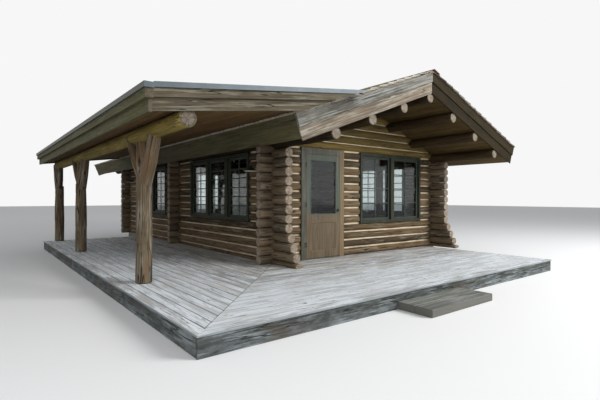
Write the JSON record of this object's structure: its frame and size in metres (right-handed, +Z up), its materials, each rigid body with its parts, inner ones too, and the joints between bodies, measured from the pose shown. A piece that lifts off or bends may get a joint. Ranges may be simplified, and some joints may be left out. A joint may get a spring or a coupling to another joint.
{
  "type": "log cabin with a porch and a deck",
  "caption": "Log cabin with saddle-notched corners, a low gable roof, a lean-to porch on forked posts, a wrap-round deck and a hinged front door.",
  "frame": {"origin": "on the ground under the middle of the building's overall box", "axes": "+Z up, +Y from the door wall to the back, +X to the right seen from in front of the door wall"},
  "size_m": [8.632, 13.99, 3.8344],
  "materials": {
    "log_wood": "oiled logs, brown to dark brown",
    "chinking": "sanded mortar, buff",
    "roof_shakes": "weathered brown shakes",
    "roof_panel": "dark stained soffit boards",
    "barge_wood": "weathered grey boards",
    "fascia_wood": "dark stained board",
    "edge_metal": "blue-grey folded sheet",
    "ridge_metal": "rusty folded sheet",
    "porch_boards": "weathered grey-brown boards",
    "post_wood": "peeled trunks with long checks",
    "beam_wood": "peeled log, olive brown",
    "deck_wood": "silver-grey boards",
    "skirt_wood": "wide grey planks, stained",
    "masonry": "rendered plinth",
    "floor_wood": "interior floor boards",
    "trim_paint": "grey-green paint",
    "glass": "clear window glass",
    "lamp_metal": "dark enamel",
    "iron": "black iron"
  },
  "bodies": {
    "cabin": {"front_wall_left": "log_wood", "front_wall_right": "log_wood", "back_wall": "log_wood", "left_wall": "log_wood", "right_wall": "log_wood", "front_gable": "log_wood", "back_gable": "log_wood", "plate_logs": "log_wood", "rib_stubs": "log_wood", "ridge_log_and_purlins": "log_wood", "side_chinking": "chinking", "end_chinking": "chinking", "plinth": "masonry", "floor": "floor_wood", "roof_panel_left": "roof_panel", "roof_panel_right": "roof_panel", "roof_covering_left": "roof_shakes", "roof_covering_right": "roof_shakes", "barge_boards_front": "barge_wood", "barge_boards_back": "barge_wood", "eave_fascia": "fascia_wood", "ridge_cap": "ridge_metal", "porch_roof_covering": "roof_shakes", "porch_roof_panel": "roof_panel", "porch_edge_boards_ends": "porch_boards", "porch_edge_boards_side": "porch_boards", "porch_edge_metal": "edge_metal", "porch_beam": "beam_wood", "porch_post_1": "post_wood", "porch_post_2": "post_wood", "porch_post_3": "post_wood", "deck_boards_front": "deck_wood", "deck_boards_side": "deck_wood", "deck_skirt": "skirt_wood", "deck_bearers": "skirt_wood", "entry_step": "deck_wood", "window_frames": "trim_paint", "window_sashes": "trim_paint", "window_glass": "glass", "door_frame": "trim_paint", "door_hinges": "iron", "lamp_arms": "lamp_metal", "lamp_shades": "lamp_metal"},
    "door": {"door_leaf": "trim_paint", "door_glass": "glass"}
  },
  "joints": [
    {"name": "door_hinge", "type": "hinge", "parent": "cabin", "child": "door", "pos_m": [-0.6315, -3.6463, 0.22], "axis": [0, 0, -1], "range_deg": [0, 105]}
  ]
}
